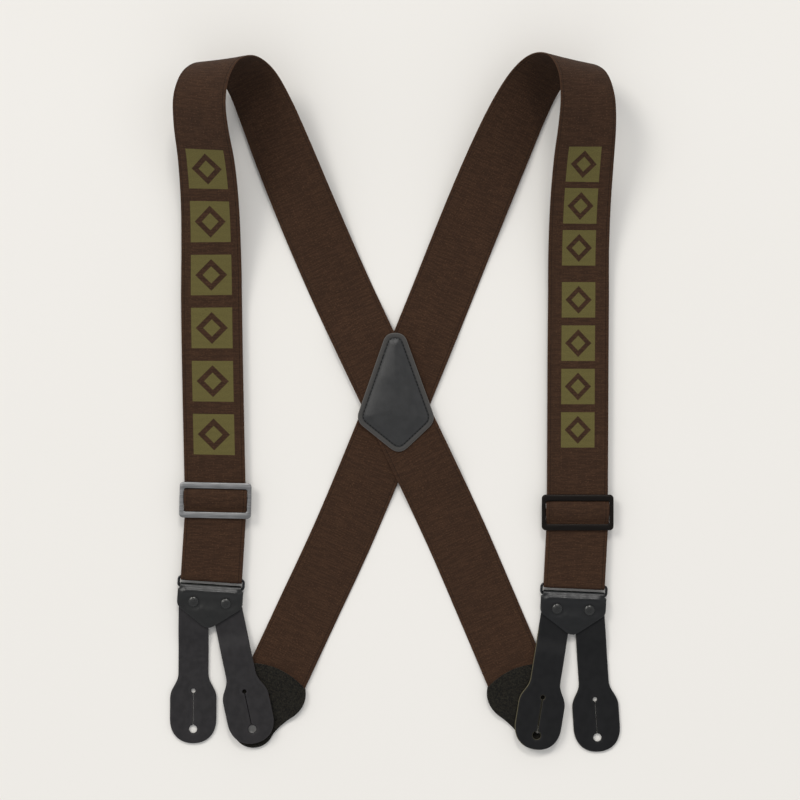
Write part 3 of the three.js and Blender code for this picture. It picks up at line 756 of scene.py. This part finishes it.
LOWER_CUT = 14  # how far above the ring's upper bar the lower strap changes pieces
BAR_DROP = 12.25  # from the middle of the adjuster to the middle of its lower bar
ADJUSTER_BAR = 2.4  # the height of the set-back bar's middle
BAR_HALF = 3  # from the middle of the set-back bar to its edge
TAIL_STOP = 9  # how far below the adjuster's middle the straight tail stops
WINDOW_EASE = 1.034  # how much wider the webbing spreads where it bulges up through the window


def lower_run(side):
    """The front layer from under the adjuster's lower bar to the ring: its two ends."""
    where = SIDES[side]["adjuster"]
    return np.array([*beside(where, 0, -BAR_DROP), where[2]]), np.array(SIDES[side]["ring"])


def level_width(degrees):
    """The direction of the webbing's width where it lies level."""
    angle = math.radians(degrees)
    return np.array([math.cos(angle), math.sin(angle), 0.0])


def run_station(start, end, t, distance, height):
    x, y, turn = start + (end - start) * t
    return distance, np.array([x, y, height]), level_width(turn)


def lower_strap(side):
    start, end = lower_run(side)
    length = math.hypot(*(end - start)[:2])
    stop = 1 - LOWER_CUT / length
    first = STRAPS[side][0][0]
    path = [run_station(start, end, t, first - t * length, LAYER_MIDDLE)
            for t in np.linspace(0, stop, 20)]
    piece = webbing(f"{side}_webbing_lower", with_headings(path[::-1]), PLAIN_WEBBING)
    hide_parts(f"{side}_strap_lower")
    edges = [metres([*(start + (end - start) * t)[:2], LAYER_MIDDLE]) for t in (0.02, stop)]
    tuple(edges[0])
    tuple(edges[1])
    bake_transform(piece)


def return_strap(side):
    """The webbing round the ring, back up behind the front layer and round the adjuster's bar."""
    start, end = lower_run(side)
    length = math.hypot(*(end - start)[:2])
    where = SIDES[side]["adjuster"]
    radius = FOLD_RADIUS - HALF_WEB
    first = STRAPS[side][0][0] - length
    path = []
    for t in np.linspace(1 - LOWER_CUT / length, 1, 6)[:-1]:
        path.append(run_station(start, end, t, first + (1 - t) * length, LAYER_MIDDLE))
    for a in np.radians(np.linspace(0, 180, 15)):
        x, y = beside(end, 0, -radius * math.sin(a))
        middle = np.array([x, y, FOLD_RADIUS + radius * math.cos(a)])
        path.append((first - radius * a, middle, level_width(end[2])))
    tail_end = np.array([*beside(where, 0, -TAIL_STOP), where[2]])
    tail = math.hypot(*(tail_end - end)[:2])
    so_far = first - radius * math.pi
    for t in np.linspace(0.06, 1, 22):
        path.append(run_station(end, tail_end, t, so_far - t * tail, HALF_WEB))
    so_far -= tail
    wrap = ADJUSTER_BAR - HALF_WEB

    def by_bar(y, z, distance):
        path.append((distance, np.array([*beside(where, 0, y), z]), level_width(where[2])))

    for y in (-6, -3, 0, BAR_HALF):
        by_bar(y, HALF_WEB, so_far - (y + TAIL_STOP))
    so_far -= TAIL_STOP + BAR_HALF
    for a in np.radians(np.linspace(0, 180, 9)[1:-1]):
        by_bar(BAR_HALF + wrap * math.sin(a), ADJUSTER_BAR - wrap * math.cos(a), so_far - wrap * a)
    so_far -= wrap * math.pi
    for y in np.linspace(BAR_HALF, -12, 11):
        drop = 1.85 * smooth(-2.5, -9, y)
        by_bar(y, ADJUSTER_BAR + wrap - drop, so_far - (BAR_HALF - y))
    piece = webbing(f"{side}_webbing_return", with_headings(path), PLAIN_WEBBING)
    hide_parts(f"{side}_strap_fold", f"{side}_strap_tail", f"{side}_sewn_end")
    low = end + (tail_end - end) * 0.15
    edges = [metres([*p[:2], HALF_WEB]) for p in (low, tail_end)]
    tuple(edges[0])
    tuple(edges[1])
    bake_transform(piece)


# How high the middle of the webbing stands in the adjuster's window, from its lower bar upwards.
BULGE = np.array([(-11.3, 4.9), (-9.4, 5.2), (-7.2, 6.0), (-4, 7.4), (-0.5, 8.6), (3.2, 9.2), (6.4, 8.7),
                  (8.6, 6.9), (9.8, 5.4), (11.3, 4.9)])


def window_bulge(side):
    """The front layer where it bulges up through the adjuster's window over the set-back bar."""
    where = SIDES[side]["adjuster"]
    width = level_width(where[2]) * WINDOW_EASE
    path = []
    for y in np.linspace(-11.2, 11.2, 36):
        height = along_rows(BULGE, y)[1]
        path.append((y, np.array([*beside(where, 0, y), height]), width))
    piece = webbing(f"{side}_webbing_window", with_headings(path), PLAIN_WEBBING)
    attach(piece, f"{side}_adjuster")


# ---- hardware -----------------------------------------------------------------------------

def rounded_rectangle(width, height, corner, steps=6):
    x, y = width / 2 - corner, height / 2 - corner
    loop = []
    for cx, cy, start in ((x, y, 0), (-x, y, 90), (-x, -y, 180), (x, -y, 270)):
        loop += arc(cx, cy, corner, start, start + 90, steps)
    return loop


def tube_of_loops(loops):
    """A closed solid through loops of equal length; the last joins the first."""
    count = len(loops[0])
    points = [p for loop in loops for p in loop]
    faces = []
    for i in range(len(loops)):
        a, b = i * count, ((i + 1) % len(loops)) * count
        faces += [(a + k, a + (k + 1) % count, b + (k + 1) % count, b + k) for k in range(count)]
    return points, faces


def bar_solid(width, depth, low, high, bevel, centre_x=0.0):
    """A bar with bevelled edges that lies along X."""
    loops = []
    for inset, z in ((bevel, low), (0, low + bevel), (0, high - bevel), (bevel, high)):
        loop = rounded_rectangle(width - 2 * inset, depth - 2 * inset, 0.5, 3)
        loops.append([(x + centre_x, y, z) for x, y in loop])
    points, faces = tube_of_loops(loops)
    count = len(loops[0])
    faces = faces[:-count]
    faces.append(tuple(reversed(range(count))))
    faces.append(tuple(range(3 * count, 4 * count)))
    return points, faces


def joined(parts):
    points, faces = [], []
    for part_points, part_faces in parts:
        first = len(points)
        points += list(part_points)
        faces += [tuple(first + i for i in f) for f in part_faces]
    return points, faces


def adjuster(side):
    """The slide adjuster: a bevelled open frame and the set-back bar between two lugs."""
    bottom, thick, bevel = 6.8, 1.9, 0.45
    top = bottom + thick
    wide, high, corner = 59.6, 29.6, 3.2
    in_wide, in_high, in_corner = 52.8, 19.4, 2.0
    rise = [(bevel, bottom), (0, bottom + bevel), (0, top - bevel), (0.15, top - 0.2), (bevel, top)]
    loops = []
    for inset, z in rise:
        loop = rounded_rectangle(wide - 2 * inset, high - 2 * inset, corner - inset)
        loops.append([(x, y, z) for x, y in loop])
    for inset, z in reversed(rise):
        loop = rounded_rectangle(in_wide + 2 * inset, in_high + 2 * inset, in_corner + inset)
        loops.append([(x, y, z) for x, y in loop])
    lug = 2.6
    parts = [
        tube_of_loops(loops),
        bar_solid(58, 6, 1.7, 3.1, 0.35),
        bar_solid(lug, 6, 1.7, 7.5, 0.35, -27.7),
        bar_solid(lug, 6, 1.7, 7.5, 0.35, 27.7),
    ]
    points, faces = joined(parts)
    placed = place(points, *SIDES[side]["adjuster"])
    piece = make_piece(f"{side}_adjuster", placed, faces, ADJUSTER_METALS[side])
    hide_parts(f"{side}_adjuster_frame")
    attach(piece, f"{side}_adjuster")


def wire_ring(side):
    """The rectangular wire ring, with a round section and tight corners."""
    sides, radius, corner = 14, RING_WIRE / 2, 2.6
    loops = []
    for i in range(sides):
        angle = 2 * math.pi * i / sides
        out, rise = radius * math.cos(angle), radius * math.sin(angle)
        width, height = RING_WIDTH - RING_WIRE + 2 * out, RING_BARS + 2 * out
        loop = rounded_rectangle(width, height, corner + out, 8)
        loops.append([(x, y - RING_BARS / 2, FOLD_RADIUS + rise) for x, y in loop])
    points, faces = tube_of_loops(loops)
    piece = make_piece(f"{side}_wire_ring", place(points, *SIDES[side]["ring"]), faces, BLACK_METAL)
    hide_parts(f"{side}_ring")
    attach(piece, f"{side}_ring")


def lathed(profile, segments=40):
    """A turned solid from a profile of radius and height that starts and ends on the axis."""
    points = [(0, 0, profile[0][1])]
    for radius, z in profile[1:-1]:
        points += [(radius * math.cos(a), radius * math.sin(a), z)
                   for a in np.linspace(0, 2 * math.pi, segments, endpoint=False)]
    points.append((0, 0, profile[-1][1]))
    faces = [(0, 1 + (k + 1) % segments, 1 + k) for k in range(segments)]
    for i in range(len(profile) - 3):
        a, b = 1 + i * segments, 1 + (i + 1) * segments
        faces += [(a + k, a + (k + 1) % segments, b + (k + 1) % segments, b + k) for k in range(segments)]
    last = len(points) - 1
    base = last - segments
    faces += [(last, base + k, base + (k + 1) % segments) for k in range(segments)]
    return points, faces


def rivet_place(side, where):
    """Where a rivet stands in the layout."""
    end = SIDES[side]["out"] if where == "outer" else -SIDES[side]["out"]
    return beside(SIDES[side]["ring"], end * RIVET_SPREAD / 2, -RING_BARS - RIVET_DROP)


def rivets(side):
    head = RIVET_HEAD / 2
    seat = LAYER_TOP - 0.35
    cap = [(0, 1.2), (1.5, 1.2), (1.5, seat), (head - 0.25, seat), (head, seat + 0.15)]
    cap += [(head * math.cos(a), seat + 0.3 + 1.76 * math.sin(a)) for a in np.linspace(0, 1.45, 12)]
    cap.append((0, seat + 2.06))
    back = [(0, 0), (3.4, 0), (3.8, 0.12), (4, 0.35), (3.9, 0.65), (3.4, 0.75), (1.7, 0.75), (0, 0.75)]
    for where in ("outer", "inner"):
        x, y = rivet_place(side, where)
        for kind, profile in (("cap", cap), ("back", back)):
            points, faces = lathed(profile)
            name = f"{side}_{where}_{kind}"
            piece = make_piece(name, place(points, x, y, 0), faces, RIVET_METAL)
            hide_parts(f"{side}_{where}_rivet_{kind}")
            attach(piece, f"{side}_yoke")


# ---- leather ------------------------------------------------------------------------------

def yoke(side):
    """One piece of leather folded over the ring's lower bar, pinched down by its two rivets."""
    radius = FOLD_RADIUS - YOKE_LEATHER / 2
    bend_half = math.pi * radius / 2
    fold, half, tip = 25.6, 27.1, 32.8  # half its width at the fold and at the flaps, and how far it drops
    flap = [(fold, -1.2), (fold + 0.9, -1.35), (half, -2.1), (half, -10.9)]
    flap += bezier([(half, -10.9), (half, -13.9), (26.6, -15.8), (24.1, -17.6)], 6)[1:]
    flap += bezier([(24.1, -17.6), (18.2, -21.8), (12.3, -26), (6.4, -30.2)], 5)[1:]
    flap += bezier([(6.4, -30.2), (3.8, -32.1), (2.2, -tip), (0, -tip)], 6)[1:]
    front = [(x, y - bend_half) for x, y in flap]
    lower = front + [(-x, y) for x, y in reversed(front[:-1])]
    upper = [(-x, -y) for x, y in lower]
    rivet_holes = [arc(end * RIVET_SPREAD / 2, flip * (bend_half + RIVET_DROP), 1.95, 0, 345, 23)
                   for end in (-1, 1) for flip in (-1, 1)]

    def rivet_press(x, y, reach):
        press = np.zeros(len(x))
        for end in (-1, 1):
            away = np.hypot(x - end * RIVET_SPREAD / 2, y + bend_half + RIVET_DROP)
            press += np.exp(-(away / reach) ** 2)
        return press

    def raised(x, y, distance):
        front_side = smooth(-1.5, 3, -y - bend_half)
        puff = 1.7 * np.exp(-((y + bend_half + 3.2) / 4.2) ** 2)
        fall = 1.15 * rivet_press(x, y, 6.4)
        swell = 1.1 * np.exp(-((y + bend_half + 20) / 6.5) ** 2 - (x / 14) ** 2)
        return front_side * (puff - fall + swell) * smooth(0, 6, distance)

    def bend(x, s, height):
        away = np.clip(np.abs(s) - bend_half, 0, None)
        angle = np.clip(-s, -bend_half, bend_half) / radius
        r = radius - YOKE_LEATHER / 2 + height
        # the angle is 0 at the top of the fold and a quarter turn at each flap
        y = np.cos(angle) * r - away
        z = FOLD_RADIUS + np.sin(angle) * r
        return np.stack([x, y, z], 1)

    loops = [lower + upper] + rivet_holes
    points, faces, attributes = leather_mesh(
        loops, YOKE_LEATHER, bend, spacing=0.6, round_edge=0.5, raised=raised)
    ring = SIDES[side]["ring"]
    placed = place(points, *beside(ring, 0, -RING_BARS), ring[2])
    piece = make_piece(f"{side}_yoke_leather", placed, faces, YOKE_LEATHERS[side], attributes)
    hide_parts(f"{side}_yoke")
    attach(piece, f"{side}_yoke")


def buttonhole(small_y, small_radius, big_y, big_radius, slit):
    """Two round holes joined by a slit, as one closed loop."""
    small = math.degrees(math.asin(slit / 2 / small_radius))
    big = math.degrees(math.asin(slit / 2 / big_radius))
    loop = arc(0, small_y, small_radius, -90 + small, 270 - small, 22)
    return loop + arc(0, big_y, big_radius, 90 + big, 450 - big, 32)


def tab_outline():
    neck, shoulder, end = 12.5, 19.3, 118.5
    half = arc(0, -5, neck, 90, 0, 14)
    half += [(neck, -60)]
    half += bezier([(neck, -60), (neck, -69), (shoulder, -72), (shoulder, -81)], 14)[1:]
    half += [(shoulder, -98)]
    half += bezier([(shoulder, -98), (shoulder, -110.5), (12, -end), (0, -end)], 18)[1:]
    return mirrored(half)


def button_tab(side, where):
    """A leather tab that hangs from a rivet, with its buttonhole."""
    x, y = rivet_place(side, where)
    lean = SIDES[side]["tabs"][where]
    inner_step = REAR_INNER_BOTTOM + REAR_LEATHER + GAP - TAB_BOTTOM
    step = inner_step if where == "inner" else -TAB_BOTTOM
    creased = side == "left" and where == "outer"

    def bend(px, py, height):
        lift = step * smooth(24, 40, -py)
        return np.stack([px, py, TAB_BOTTOM + lift + height], 1)

    def raised(px, py, distance):
        soft = -0.1 * np.exp(-(distance / 1.2) ** 2)
        if creased:
            lines = np.sin(py * 2.1 + 1.3 * np.sin(px * 0.35)) * np.sin(py * 0.83 + px * 0.05)
            soft += 0.2 * lines * np.exp(-((py + 48) / 11) ** 2)
        return soft

    raw_side = 0.0
    if side == "right":
        raw_side = 1.0 if where == "inner" else 0.15

    def raw(px, py, distance):
        near = np.exp(-(distance / 0.28) ** 2) * raw_side
        by_hole = (np.abs(px) < 4) & (py < -60)
        on_left = (px < -8) & (py < -18)
        return near * (on_left + 0.35 * by_hole)

    holes = [arc(0, 0, 1.95, 0, 345, 23), buttonhole(-74.7, 1.8, -106.6, 3.35, SLIT)]
    points, faces, attributes = leather_mesh(
        [tab_outline()] + holes, TAB_LEATHER, bend, spacing=1.7, round_edge=0.6, raised=raised,
        extra={"raw": raw})
    name = f"{side}_{where}_tab_leather"
    piece = make_piece(name, place(points, x, y, lean), faces, TAB_LEATHERS[side], attributes)
    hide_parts(f"{side}_{where}_tab")
    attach(piece, f"{side}_{where}_tab")


def rear_outline():
    tongue, centre = 17.4, 46
    half = bezier([(0, 6.8), (9, 6.6), (18, 4.6), (26, 0.8)], 10)
    half += bezier([(26, 0.8), (32, -8), (31, -18), (24.3, -27.6)], 12)[1:]
    half += bezier([(24.3, -27.6), (20.5, -35), (18, -40), (tongue, -centre)], 10)[1:]
    half += arc(0, -centre, tongue, 0, -90, 14)[1:]
    return mirrored(half)


def rear_leather(side):
    """The two leathers that hold the strap's rear end: smooth below, suede above."""
    holes = [buttonhole(-17, 1.8, -48, 3.35, SLIT)]
    loops = [rear_outline()] + holes
    where = SIDES[side]["rear"]

    def flat(x, y, height):
        return np.stack([x, y, height], 1)

    points, faces, attributes = leather_mesh(loops, REAR_LEATHER, flat, spacing=1.8, round_edge=0.35)
    piece = make_piece(f"{side}_rear_leather", place(points, *where), faces, REAR_OUTER, attributes)
    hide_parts(f"{side}_rear_tab_outer")
    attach(piece, "back")

    def stepped(x, y, height):
        drop = REAR_INNER_BOTTOM - REAR_STACK
        lift = REAR_INNER_BOTTOM - drop * smooth(21, 33, -y)
        return np.stack([x, y, lift + height], 1)

    def nap(x, y, distance):
        rough = [noise.noise(Vector((a * 0.7, b * 0.7, 3.1))) for a, b in zip(x, y)]
        fine = [noise.noise(Vector((a * 1.9, b * 1.9, 8.4))) for a, b in zip(x, y)]
        return 0.2 * np.array(rough) + 0.18 * np.array(fine) - 0.15 * np.exp(-(distance / 0.8) ** 2)

    points, faces, attributes = leather_mesh(
        loops, REAR_LEATHER, stepped, spacing=0.95, round_edge=0.4, raised=nap)
    piece = make_piece(f"{side}_rear_suede", place(points, *where), faces, SUEDE, attributes)
    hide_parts(f"{side}_rear_tab_lining")
    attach(piece, "back")


PATCH_CORNERS = [(-8.2, 56.6, 7), (-33.6, -16.2, 8), (2.7, -45.4, 10), (33.2, -16.5, 8), (6.7, 56.6, 7)]
STITCH_INSET = 4.3


def patch_outline(inset=0.0):
    """The kite with its rounded corners, or the same moved in by the inset."""
    corners = [np.array(c[:2]) for c in PATCH_CORNERS]
    moved = []
    for i, corner in enumerate(corners):
        to_last = corners[i - 1] - corner
        to_next = corners[(i + 1) % len(corners)] - corner
        a, b = to_last / np.linalg.norm(to_last), to_next / np.linalg.norm(to_next)
        half_angle = math.acos(np.clip(a @ b, -1, 1)) / 2
        middle = (a + b) / np.linalg.norm(a + b)
        moved.append(corner + middle * inset / math.sin(half_angle))
    loop = []
    for i, corner in enumerate(moved):
        cut = max(PATCH_CORNERS[i][2] - inset * 0.55, 2.5)
        before = moved[i - 1] - corner
        after = moved[(i + 1) % len(moved)] - corner
        start = corner + before / np.linalg.norm(before) * cut
        end = corner + after / np.linalg.norm(after) * cut
        for t in np.linspace(0, 1, 9):
            loop.append(tuple(start * (1 - t) ** 2 + corner * 2 * t * (1 - t) + end * t ** 2))
    return loop


def thread_run(loop, height, pitch=2.9, length=2.1, radius=0.34):
    """Stitches laid end to end along a loop, each a short thread that dips at both ends."""
    walk = np.array(loop + loop[:1])
    steps = np.hypot(*np.diff(walk, axis=0).T)
    total = np.concatenate([[0], np.cumsum(steps)])
    points, faces = [], []
    count = int(total[-1] / pitch)
    sides, rings = 8, 7
    for k in range(count):
        at = total[-1] * k / count
        base = len(points)
        for i in range(rings):
            t = i / (rings - 1)
            where = (at + t * length) % total[-1]
            x = np.interp(where, total, walk[:, 0])
            y = np.interp(where, total, walk[:, 1])
            ahead = (where + 0.2) % total[-1]
            heading = np.array([np.interp(ahead, total, walk[:, 0]) - x,
                                np.interp(ahead, total, walk[:, 1]) - y])
            heading /= max(np.hypot(*heading), 1e-6)
            r = radius * max(0.25, math.sin(math.pi * (0.08 + 0.84 * t)))
            z = height + 0.24 * math.sin(math.pi * t)
            for j in range(sides):
                a = 2 * math.pi * j / sides
                out = r * math.cos(a)
                points.append((x - heading[1] * out, y + heading[0] * out, z + r * math.sin(a)))
        for i in range(rings - 1):
            a, b = base + i * sides, base + (i + 1) * sides
            faces += [(a + j, a + (j + 1) % sides, b + (j + 1) % sides, b + j) for j in range(sides)]
        faces.append(tuple(base + j for j in reversed(range(sides))))
        faces.append(tuple(base + (rings - 1) * sides + j for j in range(sides)))
    return points, faces


def cross_patch():
    """The stitched patch at the crossing, raised in the middle, and the leather behind it."""
    def raised(x, y, distance):
        hill = 4.4 * (1 - np.exp(-np.clip(distance - STITCH_INSET, 0, None) / 9.0))
        groove = -0.55 * np.exp(-((distance - STITCH_INSET) / 0.8) ** 2)
        dents = np.array([noise.noise(Vector((a * 0.07, b * 0.07, 1.7))) for a, b in zip(x, y)])
        return hill * (1 + 0.12 * dents) + groove - 0.12 * np.exp(-(distance / 0.8) ** 2)

    for name, node, bottom, facing in (
        ("cross_patch_front", "cross_patch_inner", PATCH_TOP_BOTTOM, 1),
        ("cross_patch_back", "cross_patch_outer", 0.0, -1),
    ):
        def bend(x, y, height, bottom=bottom):
            return np.stack([x, y, bottom + height], 1)

        swell = raised if facing > 0 else None
        points, faces, attributes = leather_mesh(
            [patch_outline()], PATCH_LEATHER, bend, spacing=1.15, round_edge=0.4, raised=swell)
        piece = make_piece(name, points, faces, PATCH, attributes)
        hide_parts(node)
        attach(piece, "back")
    height = PATCH_TOP_BOTTOM + PATCH_LEATHER - 0.42
    points, faces = thread_run(patch_outline(STITCH_INSET), height)
    piece = make_piece("patch_stitches", points, faces, THREAD)
    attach(piece, "back")


# ---- the object ---------------------------------------------------------------------------

for side_name in SIDES:
    long_strap(side_name)
    lower_strap(side_name)
    return_strap(side_name)
    window_bulge(side_name)
    adjuster(side_name)
    wire_ring(side_name)
    rivets(side_name)
    yoke(side_name)
    for tab_name in ("outer", "inner"):
        button_tab(side_name, tab_name)
    rear_leather(side_name)
cross_patch()


# ---- camera, floor and light --------------------------------------------------------------

CAMERA_HEIGHT = 2.0
VIEW_WIDTH = 0.6664  # what the picture spans at the height of the floor
VIEW_MIDDLE = (3.3, 0.8)  # the point of the layout that the camera stands over
FLOOR_REACH = 6.0
FLOOR_GAP = 0.0002  # keeps the floor clear of the leather that lies on it
SKY_LEVELS = (0.9, 0.52)  # the room's brightness at the horizon and overhead

scene = bpy.context.scene
camera = bpy.data.objects.new("camera", bpy.data.cameras.new("camera"))
camera.data.sensor_width = 36
camera.data.lens = 36 * CAMERA_HEIGHT / VIEW_WIDTH
camera.location = (*metres([*VIEW_MIDDLE, 0])[:2], CAMERA_HEIGHT)
scene.collection.objects.link(camera)
scene.camera = camera

floor_mesh = bpy.data.meshes.new("floor")
corners = [(-1, -1), (1, -1), (1, 1), (-1, 1)]
floor_mesh.from_pydata([(x * FLOOR_REACH, y * FLOOR_REACH, 0) for x, y in corners], [], [(0, 1, 2, 3)])
floor_mesh.materials.append(floor_material())
floor = bpy.data.objects.new("floor", floor_mesh)
floor.location.z = -FLOOR_GAP
scene.collection.objects.link(floor)


def area_light(name, location, size, power, colour):
    """A square light that faces the middle of the object."""
    light = bpy.data.lights.new(name, "AREA")
    light.shape = "SQUARE"
    light.size = size
    light.energy = power
    light.color = colour
    lamp = bpy.data.objects.new(name, light)
    lamp.location = location
    lamp.rotation_euler = (-Vector(location)).to_track_quat("-Z", "Y").to_euler()
    scene.collection.objects.link(lamp)


area_light("key", (-8.8, 8.0, 10.6), 5.6, 790, colour=(1.0, 0.975, 0.93))
area_light("top", (1.0, 8.6, 8.6), 2.6, 375, colour=(1.0, 0.98, 0.95))

# a pale room, a little darker overhead than round about
world = bpy.data.worlds.new("studio")
world.use_nodes = True
nodes, links = world.node_tree.nodes, world.node_tree.links
direction = nodes.new("ShaderNodeTexCoord")
parts = nodes.new("ShaderNodeSeparateXYZ")
ramp = nodes.new("ShaderNodeMapRange")
for socket, value in zip(ramp.inputs[1:5], (0.0, 1.0, *SKY_LEVELS)):
    socket.default_value = value
links.new(direction.outputs["Generated"], parts.inputs[0])
links.new(parts.outputs[2], ramp.inputs[0])
background = nodes["Background"]
background.inputs[0].default_value = (0.96, 0.975, 1.0, 1.0)
links.new(ramp.outputs[0], background.inputs[1])
scene.world = world
scene.view_settings.view_transform = "Standard"
